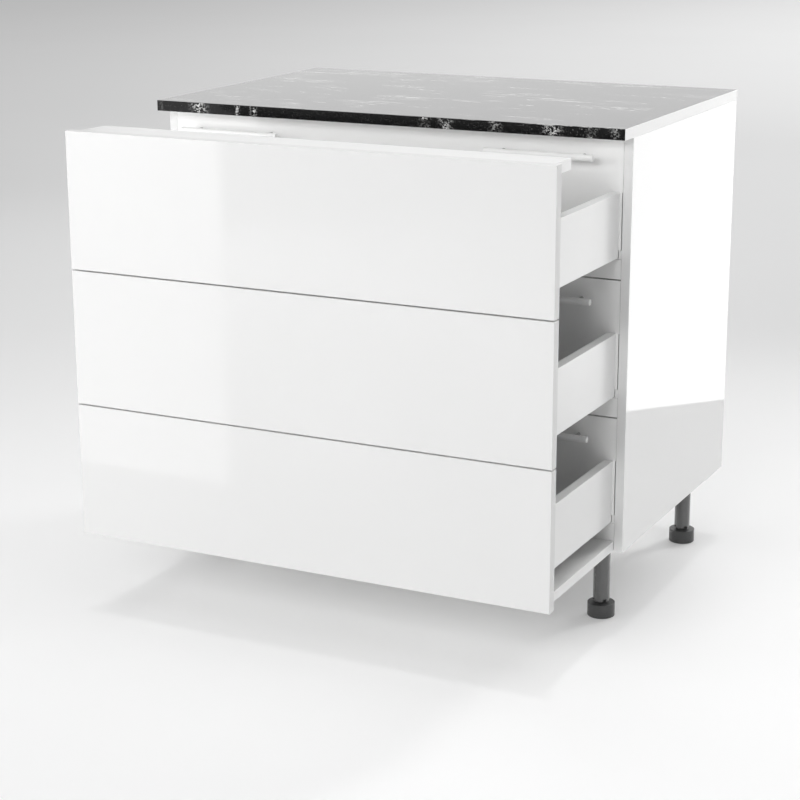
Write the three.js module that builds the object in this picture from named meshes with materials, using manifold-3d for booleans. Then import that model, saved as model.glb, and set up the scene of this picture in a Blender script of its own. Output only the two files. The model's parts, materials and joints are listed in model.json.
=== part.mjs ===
// Three-drawer base cabinet, in millimetres, +Z up, front towards -Y.
// Origin: middle of the footprint at floor level, with the drawers pulled out as drawn.
import * as THREE from 'three';
import { mergeVertices } from 'three/addons/utils/BufferGeometryUtils.js';
import Module from 'manifold-3d';

const wasm = await Module();
wasm.setup();

// ---- driving dimensions ----
const WIDTH = 900;          // over the side panels
const SIDE_T = 16;          // side panel thickness
const SIDE_H = 720;         // side panel height
const SIDE_D = 556;         // side panel depth
const LEG_H = 145;          // floor to the underside of the side panels
const TOP_T = 19;           // worktop thickness
const TOP_FRONT = 41;       // worktop overhang at the front
const TOP_BACK = 3;         // worktop overhang at the back
const FRONT_T = 19;         // drawer front thickness
const FRONT_W = 897;        // drawer front width
const PITCH = 240;          // drawer front spacing
const GAP = 2.6;            // gap between fronts
const TRAVEL = 306;         // drawer travel from closed to pulled out
const CLOSED_GAP = 1;       // front to side panel when closed
const BACK_T = 16;          // tall drawer back thickness
const BACK_W = 867.6;       // tall drawer back width
const BOX_X = 428.5;        // drawer side outer face
const BOX_T = 16;           // drawer side thickness
const BOX_H = 110;          // drawer side height
const BOX_FLOOR = 14;       // drawer side lower edge to the underside of the bottom
const BOX_FLOOR_T = 8;      // drawer bottom thickness
const BOX_DROP = [202, 442, 667];   // side panel top to each drawer side's lower edge
const RAIL_D = 75;          // crossrail depth
const RAIL_T = 18;          // crossrail thickness
const DECK_T = 17;          // deck board thickness
const INSET_W = 867;        // width of the pieces that enter between the side panels
const RUN_L = 300;          // runner length
const HANDLE_MID = { left: -308, right: 292 };   // middle of each bar
const HANDLE_POSTS = 146.5; // post spacing
const HANDLE_L = 197.5;     // bar length
const HANDLE_R = 5.7;       // bar radius
const HANDLE_POST_R = 3;    // post radius
const HANDLE_OUT = 27;      // bar axis in front of its panel
const HANDLE_DROP = [34, 36.5, 36.5];   // bar axis below each row's top
const LEG_X = 392;          // leg axes, from the middle
const LEG_IN = 57.5;        // leg axes, from the front and back edges of the side panels
const LEG_R = 15;           // leg tube radius
const LEG_BORE = 11.4;      // bore of the tube
const LEG_END = 28.5;       // floor to the tube's lower end
const FOOT_R = 24.5;        // foot disc radius
const FOOT_H = 25;          // foot disc height
const CLEAR = 0.2;          // gap left at each glued or screwed face

// ---- derived positions ----
const DEPTH = TRAVEL + CLOSED_GAP + FRONT_T + SIDE_D + TOP_BACK;
const MOUTH = -DEPTH / 2 + TRAVEL + CLOSED_GAP + FRONT_T;   // front edge of the side panels
const FACE = -DEPTH / 2;                                    // front face of the drawer fronts
const FRONT_BACK = FACE + FRONT_T;
const REAR = MOUTH + SIDE_D;
const ZB = LEG_H;
const ZT = LEG_H + SIDE_H;
const INNER = WIDTH / 2 - SIDE_T;

const part = new THREE.Group();
part.name = 'base_cabinet';

const finishes = {
  lacquer: { color: 0xeeeeed, roughness: 0.08, metalness: 0 },
  board: { color: 0xe4e4e2, roughness: 0.35, metalness: 0 },
  stone: { color: 0x2b2b2d, roughness: 0.12, metalness: 0 },
  steel: { color: 0xbfc1c3, roughness: 0.3, metalness: 1 },
  coated: { color: 0xe2e2e0, roughness: 0.4, metalness: 0 },
  satin: { color: 0xc9cbcd, roughness: 0.25, metalness: 1 },
  leg: { color: 0x2c2d30, roughness: 0.18, metalness: 0.6 },
  foot: { color: 0x1d1e20, roughness: 0.4, metalness: 0 },
};

function add(name, geometry, finish) {
  const mesh = new THREE.Mesh(geometry, new THREE.MeshStandardMaterial(finishes[finish]));
  mesh.name = name;
  part.add(mesh);
}

// A board between two corners, with its edges broken by a small round.
function board(x0, x1, y0, y1, z0, z1, r = 0.6, steps = 1) {
  const s = new THREE.Shape();
  s.moveTo(x0 + r, z0 + r); s.lineTo(x1 - r, z0 + r); s.lineTo(x1 - r, z1 - r); s.lineTo(x0 + r, z1 - r); s.closePath();
  const g = new THREE.ExtrudeGeometry(s, { depth: y1 - y0 - 2 * r, bevelEnabled: true, bevelSize: r, bevelThickness: r, bevelSegments: steps, steps: 1 });
  // the shape lies in X and Z, and its extrusion runs along Y
  g.rotateX(Math.PI / 2);
  g.translate(0, y1 - r, 0);
  return g;
}

// A section in X and Z carried along Y.
function section(points, y0, y1) {
  const s = new THREE.Shape(points.map(([x, z]) => new THREE.Vector2(x, z)));
  const g = new THREE.ExtrudeGeometry(s, { depth: y1 - y0, bevelEnabled: false });
  g.rotateX(Math.PI / 2);
  g.translate(0, y1, 0);
  return g;
}

function mirrored(points, side) {
  return side > 0 ? points : points.map(([x, z]) => [-x, z]).reverse();
}

function solid(geometry) {
  const g = geometry.clone();
  g.deleteAttribute('normal');
  g.deleteAttribute('uv');
  const m = mergeVertices(g, 1e-4);
  return new wasm.Manifold(new wasm.Mesh({
    numProp: 3,
    vertProperties: new Float32Array(m.attributes.position.array),
    triVerts: new Uint32Array(m.index.array),
  }));
}

function fromSolid(body) {
  const m = body.getMesh();
  const g = new THREE.BufferGeometry();
  const v = new Float32Array(m.numVert * 3);
  for (let i = 0; i < m.numVert; i++) for (let k = 0; k < 3; k++) v[i * 3 + k] = m.vertProperties[i * m.numProp + k];
  g.setAttribute('position', new THREE.BufferAttribute(v, 3));
  g.setIndex(new THREE.BufferAttribute(new Uint32Array(m.triVerts), 1));
  g.computeVertexNormals();
  return g;
}

function turned(profile, segments = 28) {
  const g = new THREE.LatheGeometry(profile.map(([r, z]) => new THREE.Vector2(r, z)), segments);
  g.rotateX(Math.PI / 2);
  return g;
}

// ---- fixed carcass ----
add('worktop', board(-WIDTH / 2, WIDTH / 2, MOUTH - TOP_FRONT, REAR + TOP_BACK, ZT + CLEAR, ZT + TOP_T, 1.5, 3), 'stone');
for (const [word, s] of [['left', -1], ['right', 1]]) {
  const a = s < 0 ? -WIDTH / 2 : INNER;
  add(`side_panel_${word}`, board(a, a + SIDE_T, MOUTH, REAR, ZB, ZT), 'lacquer');
}
add('back_panel', board(-INNER + CLEAR, INNER - CLEAR, REAR - 8, REAR, ZB + 1, ZT - CLEAR), 'board');
const FIXED_FRONT = MOUTH + TRAVEL + BACK_T + 6;
add('bottom_panel', board(-INNER + CLEAR, INNER - CLEAR, FIXED_FRONT, REAR - 8 - CLEAR, ZB + 1, ZB + 1 + DECK_T), 'board');
add('rear_top_rail', board(-INNER + CLEAR, INNER - CLEAR, REAR - 8 - CLEAR - 100, REAR - 8 - CLEAR, ZT - RAIL_T, ZT - CLEAR), 'board');

// ---- legs ----
for (const [word, sx, y] of [['front_left', -1, MOUTH + LEG_IN], ['front_right', 1, MOUTH + LEG_IN], ['rear_left', -1, REAR - LEG_IN], ['rear_right', 1, REAR - LEG_IN]]) {
  const x = sx * LEG_X;
  const px0 = sx > 0 ? LEG_X - 34 : -(WIDTH / 2 - 2);
  const px1 = sx > 0 ? WIDTH / 2 - 2 : -(LEG_X - 34);
  add(`leg_plate_${word}`, board(px0, px1, y - 36, y + 36, ZB - 3.2, ZB - CLEAR, 0.4), 'steel');
  const tubeTop = ZB - 3.4;
  const tube = turned([[LEG_BORE, LEG_END], [LEG_R - 0.5, LEG_END], [LEG_R, LEG_END + 0.5], [LEG_R, tubeTop], [0, tubeTop], [0, 70], [LEG_BORE, 70], [LEG_BORE, LEG_END]], 40);
  // four slots across the tube's lower end
  let cut = solid(tube);
  for (const turn of [1, 3]) {
    const slot = new THREE.BoxGeometry(60, 7, 14);
    slot.rotateZ(turn * Math.PI / 4);
    slot.translate(0, 0, LEG_END - 2);
    cut = cut.subtract(solid(slot));
  }
  const leg = fromSolid(cut);
  leg.translate(x, y, 0);
  add(`leg_${word}`, leg, 'leg');
  const foot = turned([[0, 0], [FOOT_R - 0.8, 0], [FOOT_R, 0.8], [FOOT_R, FOOT_H - 0.6], [FOOT_R - 0.6, FOOT_H], [11, FOOT_H], [11, 40], [5, 40], [5, 60], [0, 60]], 40);
  foot.translate(x, y, 0);
  add(`foot_${word}`, foot, 'foot');
}

// ---- drawers ----
['top', 'middle', 'lower'].forEach((word, i) => {
  const zTop = ZT - i * PITCH;
  const f1 = i === 0 ? zTop - 0.3 : zTop - GAP / 2;
  const f0 = i === 2 ? ZB + 0.8 : zTop - PITCH + GAP / 2;
  add(`${word}_front`, board(-FRONT_W / 2, FRONT_W / 2, FACE, FRONT_BACK, f0, f1, 0.5, 2), 'lacquer');
  const b = ZT - BOX_DROP[i];
  const y0 = FRONT_BACK + CLEAR;
  const y1 = MOUTH - CLEAR;
  for (const [hand, s] of [['left', -1], ['right', 1]]) {
    const a = s < 0 ? -BOX_X : BOX_X - BOX_T;
    add(`${word}_side_${hand}`, board(a, a + BOX_T, y0, y1, b, b + BOX_H, 0.5), 'board');
  }
  add(`${word}_bottom`, board(-(BOX_X - BOX_T - CLEAR), BOX_X - BOX_T - CLEAR, y0, y1, b + BOX_FLOOR, b + BOX_FLOOR + BOX_FLOOR_T, 0.3), 'board');

  // tall back, notched at both edges beside the drawer sides and where the runners pass
  const p1 = i === 0 ? ZT - 2.4 : zTop - GAP / 2;
  const p0 = i === 2 ? ZB + 1 + DECK_T + CLEAR : zTop - PITCH + GAP / 2;
  const h = BACK_W / 2;
  const n0 = b - 2.8, n1 = b + 12.6, n2 = b + BOX_H, nx = 393, sx = h - 1.3;
  add(`${word}_back`, section([[-h, p0], [h, p0], [h, n0], [nx, n0], [nx, n1], [sx, n1], [sx, n2], [h, n2], [h, p1], [-h, p1], [-h, n2], [-sx, n2], [-sx, n1], [-nx, n1], [-nx, n0], [-h, n0]], MOUTH, MOUTH + BACK_T), 'lacquer');

  // handles on the front of the tall back
  const hz = zTop - HANDLE_DROP[i];
  for (const hand of ['left', 'right']) {
    const len = HANDLE_L;
    const mid = HANDLE_MID[hand];
    const bar = turned([[0, -len / 2], [HANDLE_R - 0.6, -len / 2], [HANDLE_R, -len / 2 + 0.6], [HANDLE_R, len / 2 - 0.6], [HANDLE_R - 0.6, len / 2], [0, len / 2]], 20);
    bar.rotateY(Math.PI / 2);
    bar.translate(mid, MOUTH - HANDLE_OUT, hz);
    let body = solid(bar);
    for (const x of [mid - HANDLE_POSTS / 2, mid + HANDLE_POSTS / 2]) {
      const post = new THREE.CylinderGeometry(HANDLE_POST_R, HANDLE_POST_R, HANDLE_OUT - CLEAR, 16);
      post.translate(x, MOUTH - CLEAR - (HANDLE_OUT - CLEAR) / 2, hz);
      body = body.add(solid(post));
    }
    add(`${word}_handle_${hand}`, fromSolid(body), 'satin');
  }

  // runners under the drawer bottom
  const w = BOX_FLOOR + b;
  for (const [hand, s] of [['left', -1], ['right', 1]]) {
    const cab = mirrored([[INNER - 0.1, b - 2.4], [INNER - 0.1, b + 12.2], [BOX_X + 0.7, b + 12.2], [BOX_X + 0.7, b - 1], [411.4, b - 1], [411.4, b + 1.4], [410, b + 1.4], [410, b - 1], [396, b - 1], [396, b + 1.4], [394.6, b + 1.4], [394.6, b - 2.4]], s);
    add(`${word}_runner_fixed_${hand}`, section(cab, MOUTH + 0.4, MOUTH + 0.4 + RUN_L), 'coated');
    const mid = mirrored([[397, b - 0.7], [409, b - 0.7], [409, b + 0.9], [404.2, b + 0.9], [404.2, b + 10.2], [407.5, b + 10.2], [407.5, b + 11.8], [398.5, b + 11.8], [398.5, b + 10.2], [401.8, b + 10.2], [401.8, b + 0.9], [397, b + 0.9]], s);
    const my = (MOUTH + 3 + FRONT_BACK + 3) / 2;
    add(`${word}_runner_middle_${hand}`, section(mid, my, my + RUN_L), 'coated');
    const cap = mirrored([[395, b + 2.4], [396.4, b + 2.4], [396.4, b + 12.4], [409.6, b + 12.4], [409.6, b + 2.4], [411, b + 2.4], [411, w - 0.1], [395, w - 0.1]], s);
    add(`${word}_runner_drawer_${hand}`, section(cap, FRONT_BACK + 3, FRONT_BACK + 3 + RUN_L), 'coated');
  }
});

// ---- pieces that ride with the top and lower fronts ----
add('crossrail', board(-INSET_W / 2, INSET_W / 2, FRONT_BACK + 1.2, FRONT_BACK + RAIL_D, ZT - RAIL_T - 2.2, ZT - 2.2, 0.3), 'board');
add('deck_board', board(-INSET_W / 2, INSET_W / 2, FRONT_BACK + CLEAR, MOUTH + BACK_T, ZB + 1, ZB + 1 + DECK_T, 0.4), 'board');

export default part;
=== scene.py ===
import json
import math
import bpy
import bmesh
from mathutils import Matrix, Vector

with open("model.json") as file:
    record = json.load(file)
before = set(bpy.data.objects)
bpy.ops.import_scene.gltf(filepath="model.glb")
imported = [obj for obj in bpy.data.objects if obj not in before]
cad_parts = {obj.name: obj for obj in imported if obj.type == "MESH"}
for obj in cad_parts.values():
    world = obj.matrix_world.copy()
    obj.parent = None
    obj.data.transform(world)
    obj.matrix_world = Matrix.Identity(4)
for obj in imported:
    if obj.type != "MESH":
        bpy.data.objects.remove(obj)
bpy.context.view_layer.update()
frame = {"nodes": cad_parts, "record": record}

nodes = frame["nodes"]
scene = bpy.context.scene


WORKTOP_X0 = (nodes["worktop"].matrix_world.inverted() @ Vector((-0.45, 0.0, 0.88))).x
BAR = nodes["top_handle_right"]
BAR_BACK = max((Vector(c).y for c in BAR.bound_box)) - 0.0205


# ---------------------------------------------------------------- materials
def new_material(name):
    m = bpy.data.materials.new(name)
    m.use_nodes = True
    t = m.node_tree
    bsdf = t.nodes["Principled BSDF"]
    return m, t, bsdf


def node(t, kind, **values):
    n = t.nodes.new(kind)
    for k, v in values.items():
        if k in n.inputs:
            n.inputs[k].default_value = v
        else:
            setattr(n, k, v)
    return n


def coords(t, scale=(1, 1, 1)):
    c = node(t, "ShaderNodeTexCoord")
    m = node(t, "ShaderNodeMapping")
    m.inputs["Scale"].default_value = scale
    t.links.new(c.outputs["Object"], m.inputs["Vector"])
    return m.outputs["Vector"]


def noise(t, vector, scale, detail=4.0, rough=0.55, distortion=0.0):
    n = node(t, "ShaderNodeTexNoise", Scale=scale, Detail=detail, Roughness=rough, Distortion=distortion)
    t.links.new(vector, n.inputs["Vector"])
    return n.outputs["Fac"]


def ramp(t, fac, stops):
    r = node(t, "ShaderNodeValToRGB")
    e = r.color_ramp.elements
    while len(e) > 1:
        e.remove(e[-1])
    for i, (pos, col) in enumerate(stops):
        c = (col, col, col, 1) if isinstance(col, (int, float)) else (*col, 1)
        if i == 0:
            e[0].position, e[0].color = pos, c
        else:
            e.new(pos).color = c
    t.links.new(fac, r.inputs["Fac"])
    return r.outputs["Color"]


def to_range(t, fac, low, high, from_low=0.3, from_high=0.7):
    n = node(t, "ShaderNodeMapRange")
    n.inputs["From Min"].default_value, n.inputs["From Max"].default_value = from_low, from_high
    n.inputs["To Min"].default_value, n.inputs["To Max"].default_value = low, high
    t.links.new(fac, n.inputs["Value"])
    return n.outputs["Result"]


def math_node(t, op, a, b=None):
    n = node(t, "ShaderNodeMath", operation=op)
    for i, v in enumerate((a, b)):
        if v is None:
            continue
        if isinstance(v, (int, float)):
            n.inputs[i].default_value = v
        else:
            t.links.new(v, n.inputs[i])
    return n.outputs[0]


def mix(t, fac, a, b):
    n = node(t, "ShaderNodeMix", data_type="RGBA")
    for sock, v in ((n.inputs[0], fac), (n.inputs[6], a), (n.inputs[7], b)):
        if isinstance(v, (int, float)):
            sock.default_value = v
        elif isinstance(v, tuple):
            sock.default_value = (*v, 1)
        else:
            t.links.new(v, sock)
    return n.outputs[2]


def bump(t, bsdf, height, strength, distance):
    b = node(t, "ShaderNodeBump", Strength=strength, Distance=distance)
    t.links.new(height, b.inputs["Height"])
    t.links.new(b.outputs["Normal"], bsdf.inputs["Normal"])


def lacquer(name, low, high, edge_painted_shade=None):
    m, t, b = new_material(name)
    v = coords(t)
    big = noise(t, v, 2.0, 2)
    colour = ramp(t, big, [(0.3, low), (0.7, high)])
    rough = to_range(t, noise(t, v, 30, 3), 0.035, 0.055)
    if edge_painted_shade:
        # the narrow edges get a duller finish than the glossy face and their own colour, painted darker than the panel
        # lacquer as painted shade on the thickness faces
        g = node(t, "ShaderNodeNewGeometry")
        s = node(t, "ShaderNodeSeparateXYZ")
        t.links.new(g.outputs["True Normal"], s.inputs["Vector"])
        edge = math_node(t, "LESS_THAN", math_node(t, "ABSOLUTE", s.outputs["Y"]), 0.85)
        colour = mix(t, edge, colour, edge_painted_shade)
        rough = math_node(t, "ADD", rough, math_node(t, "MULTIPLY", edge, 0.4))
        t.links.new(to_range(t, edge, 0.5, 0.15, 0.0, 1.0), b.inputs["Specular IOR Level"])
        t.links.new(to_range(t, edge, 0.5, 0.0, 0.0, 1.0), b.inputs["Coat Weight"])
    t.links.new(colour, b.inputs["Base Color"])
    t.links.new(rough, b.inputs["Roughness"])
    bump(t, b, noise(t, v, 160, 1.5), 0.006, 0.0004)
    b.inputs["IOR"].default_value = 1.5
    if not edge_painted_shade:
        b.inputs["Coat Weight"].default_value = 0.5
    b.inputs["Coat Roughness"].default_value = 0.02
    return m


def melamine():
    m, t, b = new_material("white_melamine_board")
    v = coords(t)
    t.links.new(ramp(t, noise(t, v, 3.0, 3), [(0.3, (0.835, 0.835, 0.83)), (0.7, (0.86, 0.86, 0.855))]), b.inputs["Base Color"])
    t.links.new(to_range(t, noise(t, v, 60, 3), 0.30, 0.38), b.inputs["Roughness"])
    bump(t, b, noise(t, v, 900, 2), 0.05, 0.0002)
    return m


def marble():
    m, t, b = new_material("black_marble_worktop")
    g = node(t, "ShaderNodeNewGeometry")
    s = node(t, "ShaderNodeSeparateXYZ")
    t.links.new(g.outputs["True Normal"], s.inputs["Vector"])
    # granular pale flecks
    grain = noise(t, coords(t, (190.0, 260.0, 260.0)), 1.0, 5, 0.66, 0.3)
    flecks = ramp(t, grain, [(0.505, 0.0), (0.54, 1.0)])
    dust = ramp(t, noise(t, coords(t, (330.0, 420.0, 420.0)), 1.0, 3, 0.6), [(0.60, 0.0), (0.66, 0.22)])
    # on the front edge they gather at a few places along its length: (place, half width, weight)
    at = [(-0.441, 0.006, 0.8), (-0.362, 0.024, 0.95), (-0.281, 0.006, 0.9), (-0.248, 0.009, 1.0), (0.088, 0.014, 0.9),
          (0.128, 0.017, 1.0), (0.22, 0.014, 0.75), (0.323, 0.022, 1.0), (0.392, 0.011, 0.7), (0.433, 0.009, 0.95)]
    c = node(t, "ShaderNodeTexCoord")
    o = node(t, "ShaderNodeSeparateXYZ")
    t.links.new(c.outputs["Object"], o.inputs["Vector"])
    along = to_range(t, o.outputs["X"], 0.0, 1.0, WORKTOP_X0, WORKTOP_X0 + 0.9)
    stops = [(0.0, 0.0)]
    for x, half, weight in at:
        u = (x + 0.45) / 0.9
        stops += [(max(u - half / 0.9, stops[-1][0] + 0.0005), 0.0), (u, weight), (min(u + half / 0.9, 0.9995), 0.0)]
    place = ramp(t, along, stops)
    gather = ramp(t, noise(t, coords(t, (26.0, 60.0, 60.0)), 1.0, 4, 0.6, 0.6), [(0.44, 0.15), (0.56, 1.0)])
    edge = math_node(t, "MULTIPLY", math_node(t, "MULTIPLY", place, gather), flecks)
    # on the top they lie in thin drifts, with a few streaks
    drift = ramp(t, noise(t, coords(t, (7.0, 26.0, 26.0)), 1.0, 5, 0.62, 0.7), [(0.555, 0.0), (0.625, 1.0)])
    long = noise(t, coords(t, (3.2, 34.0, 34.0)), 1.0, 5, 0.62, 0.5)
    near = math_node(t, "ABSOLUTE", math_node(t, "SUBTRACT", long, 0.5))
    line = ramp(t, near, [(0.0, 1.0), (0.007, 0.8), (0.016, 0.0)])
    keep = ramp(t, noise(t, coords(t, (4.0, 9.0, 9.0)), 1.0, 3, 0.6), [(0.54, 0.0), (0.62, 1.0)])
    streak = math_node(t, "MULTIPLY", line, keep)
    coarse = ramp(t, noise(t, coords(t, (70.0, 130.0, 130.0)), 1.0, 5, 0.68, 0.4), [(0.50, 0.0), (0.60, 1.0)])
    top = math_node(t, "MAXIMUM", math_node(t, "MULTIPLY", streak, 0.75), math_node(t, "MULTIPLY", math_node(t, "MULTIPLY", drift, coarse), 0.6))
    is_top = math_node(t, "GREATER_THAN", s.outputs["Z"], 0.7)
    white = mix(t, is_top, edge, top)
    white = math_node(t, "MAXIMUM", white, math_node(t, "MULTIPLY", dust, ramp(t, drift, [(0.0, 0.25), (1.0, 1.0)])))
    base = mix(t, white, (0.004, 0.004, 0.0042), (0.86, 0.86, 0.85))
    # the worktop's two ends and its underside are faced in white, like the panels under it
    end = math_node(t, "GREATER_THAN", math_node(t, "ABSOLUTE", s.outputs["X"]), 0.9)
    under = math_node(t, "LESS_THAN", s.outputs["Z"], -0.9)
    t.links.new(mix(t, math_node(t, "MAXIMUM", end, under), base, (0.94, 0.94, 0.935)), b.inputs["Base Color"])
    t.links.new(to_range(t, grain, 0.07, 0.12), b.inputs["Roughness"])
    # the front edge's face mirrors less than the polished top
    t.links.new(to_range(t, s.outputs["Z"], 0.22, 0.5, 0.2, 0.8), b.inputs["Specular IOR Level"])
    b.inputs["IOR"].default_value = 1.5
    return m


def steel(name, low, high, rough, streak=(2, 400, 400), metallic=1.0):
    m, t, b = new_material(name)
    v = coords(t, streak)
    f = noise(t, v, 1.0, 3)
    t.links.new(ramp(t, f, [(0.3, low), (0.7, high)]), b.inputs["Base Color"])
    t.links.new(to_range(t, f, rough - 0.05, rough + 0.06), b.inputs["Roughness"])
    bump(t, b, f, 0.03, 0.0002)
    b.inputs["Metallic"].default_value = metallic
    return m


def bar_steel():
    """Pale satin bar; the posts behind it are painted dark grey as painted shade between the bar and the panel."""
    m, t, b = new_material("satin_bar")
    v = coords(t, (3, 500, 500))
    f = noise(t, v, 1.0, 3)
    c = node(t, "ShaderNodeTexCoord")
    o = node(t, "ShaderNodeSeparateXYZ")
    t.links.new(c.outputs["Object"], o.inputs["Vector"])
    # past BAR_BACK the posts are painted dark grey: painted shade between the bar and the panel behind it
    post_painted_shade = to_range(t, o.outputs["Y"], 0.0, 1.0, BAR_BACK - 0.001, BAR_BACK + 0.001)
    bar = ramp(t, f, [(0.3, (0.91, 0.91, 0.905)), (0.7, (0.95, 0.95, 0.945))])
    t.links.new(mix(t, post_painted_shade, bar, (0.4, 0.4, 0.4)), b.inputs["Base Color"])
    t.links.new(to_range(t, f, 0.32, 0.42), b.inputs["Roughness"])
    bump(t, b, f, 0.02, 0.0002)
    b.inputs["Metallic"].default_value = 0.12
    return m


def coated():
    m, t, b = new_material("white_coated_steel")
    v = coords(t)
    t.links.new(ramp(t, noise(t, v, 8.0, 3), [(0.3, (0.86, 0.86, 0.855)), (0.7, (0.88, 0.88, 0.875))]), b.inputs["Base Color"])
    t.links.new(to_range(t, noise(t, v, 200, 3), 0.34, 0.44), b.inputs["Roughness"])
    bump(t, b, noise(t, v, 2500, 2), 0.06, 0.0001)
    return m


def dark_gloss():
    m, t, b = new_material("dark_leg_gloss")
    v = coords(t)
    t.links.new(ramp(t, noise(t, v, 18, 4), [(0.3, (0.056, 0.057, 0.056)), (0.7, (0.074, 0.075, 0.074))]), b.inputs["Base Color"])
    t.links.new(to_range(t, noise(t, v, 120, 3), 0.14, 0.24), b.inputs["Roughness"])
    bump(t, b, noise(t, v, 500, 2), 0.03, 0.0002)
    b.inputs["Specular IOR Level"].default_value = 0.9
    b.inputs["Coat Weight"].default_value = 0.8
    b.inputs["Coat Roughness"].default_value = 0.08
    return m


def foot_plastic():
    m, t, b = new_material("foot_plastic")
    v = coords(t)
    t.links.new(ramp(t, noise(t, v, 40, 4), [(0.3, (0.062, 0.063, 0.063)), (0.7, (0.084, 0.085, 0.085))]), b.inputs["Base Color"])
    t.links.new(to_range(t, noise(t, v, 300, 3), 0.26, 0.4), b.inputs["Roughness"])
    bump(t, b, noise(t, v, 1500, 2), 0.08, 0.0002)
    return m


LACQUER = lacquer("gloss_white_lacquer", (0.845, 0.845, 0.842), (0.86, 0.86, 0.857))
# the inner back panels get a lighter copy of the same white lacquer: painted light that lifts the shade in the recess
# behind the fronts and under the worktop
INNER_LACQUER_PAINTED_LIGHT = lacquer("inner_lacquer_painted_light", (0.93, 0.93, 0.925), (0.945, 0.945, 0.94))
# the fronts get a darker copy of the same white lacquer, edges included: painted shade
FRONT_LACQUER_PAINTED_SHADE = lacquer("front_lacquer_painted_shade", (0.755, 0.755, 0.752), (0.77, 0.77, 0.767), edge_painted_shade=(0.785, 0.785, 0.78))
BOARD, MARBLE = melamine(), marble()
ZINC = steel("zinc_plated_steel", (0.55, 0.56, 0.57), (0.68, 0.69, 0.70), 0.34, (60, 4, 60))
SATIN = bar_steel()
LEG, FOOT, COATED = dark_gloss(), foot_plastic(), coated()

slots = {s["node"]: s["material_slot"] for s in frame["record"]["subparts"]}
by_slot = {"lacquer": LACQUER, "board": BOARD, "stone": MARBLE, "steel": ZINC, "coated": COATED, "satin": SATIN, "leg": LEG, "foot": FOOT}
for name, obj in nodes.items():
    obj.data.materials.clear()
    # inner back panels take the lighter painted-light copy of the lacquer, fronts the darker painted-shade copy
    obj.data.materials.append(INNER_LACQUER_PAINTED_LIGHT if name.endswith("_back") else FRONT_LACQUER_PAINTED_SHADE if name.endswith("_front") else by_slot[slots[name]])
    obj.data.polygons.foreach_set("use_smooth", [False] * len(obj.data.polygons))


# ---------------------------------------------------------------- stage
LEVEL = {"world": 0.175, "front_left_card": 1.8, "back_right_card": 2.127, "backdrop": 1.086, "above": 0.34, "overhead": 31.6, "back_right": 8.5, "left": 53.7, "front": 66.7, "right": 7.2, "back_left": 8.6, "back_far": 490.0, "floor_glow": 0.203}


def stage_mesh(name, corners, material):
    me = bpy.data.meshes.new(name)
    me.from_pydata(corners, [], [tuple(range(len(corners)))])
    o = bpy.data.objects.new(name, me)
    me.materials.append(material)
    scene.collection.objects.link(o)
    return o


def floor_material():
    m, t, b = new_material("studio_floor")
    v = coords(t)
    t.links.new(ramp(t, noise(t, v, 0.8, 2), [(0.3, (0.735, 0.735, 0.735)), (0.7, (0.745, 0.745, 0.745))]), b.inputs["Base Color"])
    b.inputs["Roughness"].default_value = 0.6
    b.inputs["Specular IOR Level"].default_value = 0.2
    b.inputs["Emission Color"].default_value = (1.0, 1.0, 0.995, 1)
    b.inputs["Emission Strength"].default_value = LEVEL["floor_glow"]
    return m


def card_material(name, strength, fade=None):
    m = bpy.data.materials.new(name)
    m.use_nodes = True
    t = m.node_tree
    t.nodes.clear()
    e = t.nodes.new("ShaderNodeEmission")
    e.inputs["Strength"].default_value = strength
    if fade:
        # the card dims softly towards one upright edge, from full at the first x to dark at the second
        c = node(t, "ShaderNodeTexCoord")
        x = node(t, "ShaderNodeSeparateXYZ")
        t.links.new(c.outputs["Object"], x.inputs["Vector"])
        clear = t.nodes.new("ShaderNodeBsdfTransparent")
        blend = t.nodes.new("ShaderNodeMixShader")
        t.links.new(to_range(t, x.outputs["X"], 0.0, 1.0, *fade), blend.inputs["Fac"])
        t.links.new(e.outputs[0], blend.inputs[1])
        t.links.new(clear.outputs[0], blend.inputs[2])
        e = blend
    o = t.nodes.new("ShaderNodeOutputMaterial")
    t.links.new(e.outputs[0], o.inputs["Surface"])
    return m


FLOOR = stage_mesh("studio_floor", [(-30, -30, -0.0005), (30, -30, -0.0005), (30, 30, -0.0005), (-30, 30, -0.0005)], floor_material())

world = bpy.data.worlds.new("studio")
world.use_nodes = True
world.node_tree.nodes["Background"].inputs["Color"].default_value = (0.985, 0.99, 1.0, 1)
world.node_tree.nodes["Background"].inputs["Strength"].default_value = LEVEL["world"]
scene.world = world


def card(name, foot_a, foot_b, z0, z1, strength, fade=None):
    """An upright glowing card between two floor points, seen in reflections only."""
    (xa, ya), (xb, yb) = foot_a, foot_b
    o = stage_mesh(name, [(xa, ya, z0), (xb, yb, z0), (xb, yb, z1), (xa, ya, z1)], card_material(name, strength, fade))
    o.visible_camera = False
    o.visible_diffuse = False
    o.visible_shadow = False
    return o


def area(name, at, target, size, power, seen=False):
    d = bpy.data.lights.new(name, "AREA")
    d.shape = "RECTANGLE"
    d.size, d.size_y = size
    d.energy = power
    o = bpy.data.objects.new(name, d)
    o.location = at
    o.rotation_euler = (Vector(target) - Vector(at)).to_track_quat("-Z", "Y").to_euler()
    o.visible_glossy = seen
    scene.collection.objects.link(o)
    return o


def sun(name, power, spread):
    d = bpy.data.lights.new(name, "SUN")
    d.energy = power
    d.angle = math.radians(spread)
    o = bpy.data.objects.new(name, d)
    o.location = (0, 0, 6)
    scene.collection.objects.link(o)
    return o


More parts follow.
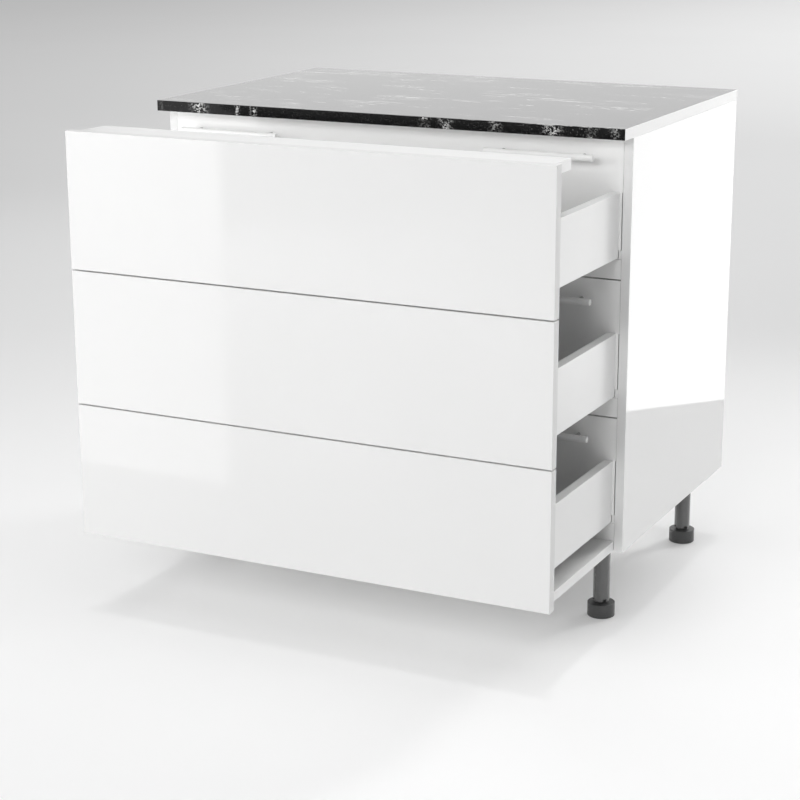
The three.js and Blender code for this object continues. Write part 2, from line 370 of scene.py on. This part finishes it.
card("front_left_card", (-3.0, -1.18), (-0.56, -1.18), 0.0, 2.2, LEVEL["front_left_card"], (-0.616, -0.586))
card("back_right_card", (0.55, 1.66), (1.8, 0.18), 0.0, 2.4, LEVEL["back_right_card"])
card("backdrop", (-5.0, 6.0), (0.6, 6.0), 1.0, 5.0, LEVEL["backdrop"])
sun("above", LEVEL["above"], 2.5)
area("overhead", (0.2, -0.8, 3.2), (0.1, -0.1, 0.0), (3.0, 3.0), LEVEL["overhead"], True)
area("back_right", (1.6, 3.0, 1.9), (0.3, -0.4, 0.4), (0.7, 0.9), LEVEL["back_right"]).data.spread = math.radians(75)
area("left", (-2.8, -3.0, 1.3), (0.0, -0.2, 0.6), (2.0, 2.0), LEVEL["left"])
area("front", (0.1, -4.3, 2.45), (0.0, -0.1, 0.8), (2.8, 1.4), LEVEL["front"])
area("right", (3.2, -0.9, 1.3), (0.4, 0.0, 0.6), (1.6, 1.6), LEVEL["right"])
area("back_left", (-2.6, 2.6, 2.4), (-0.2, 0.3, 0.8), (2.0, 2.0), LEVEL["back_left"])
area("back_far", (-0.3, 12.3, 6.0), (-0.8, 12.3, 0.0), (14.0, 6.0), LEVEL["back_far"])

# ---------------------------------------------------------------- camera
CAM = dict(at=(1.573073, -3.208736, 1.330311), yaw=26.6671, pitch=15.5539, roll=-0.2061, focal_px=1998.924)
y, p, r = (math.radians(CAM[k]) for k in ("yaw", "pitch", "roll"))
F = Vector((-math.sin(y) * math.cos(p), math.cos(y) * math.cos(p), -math.sin(p)))
R = Vector((math.cos(y), math.sin(y), 0))
U = R.cross(F)
R2 = R * math.cos(r) + U * math.sin(r)
U2 = U * math.cos(r) - R * math.sin(r)
cam_data = bpy.data.cameras.new("photo_camera")
cam_data.sensor_fit = "HORIZONTAL"
cam_data.sensor_width = 36.0
cam_data.lens = CAM["focal_px"] / 800 * 36.0
cam_data.clip_end = 200
cam = bpy.data.objects.new("photo_camera", cam_data)
m = Matrix((R2, U2, -F)).transposed().to_4x4()
m.translation = Vector(CAM["at"])
cam.matrix_world = m
scene.collection.objects.link(cam)
scene.camera = cam

scene.view_settings.view_transform = "Standard"
scene.view_settings.look = "None"
scene.view_settings.exposure = 0.0
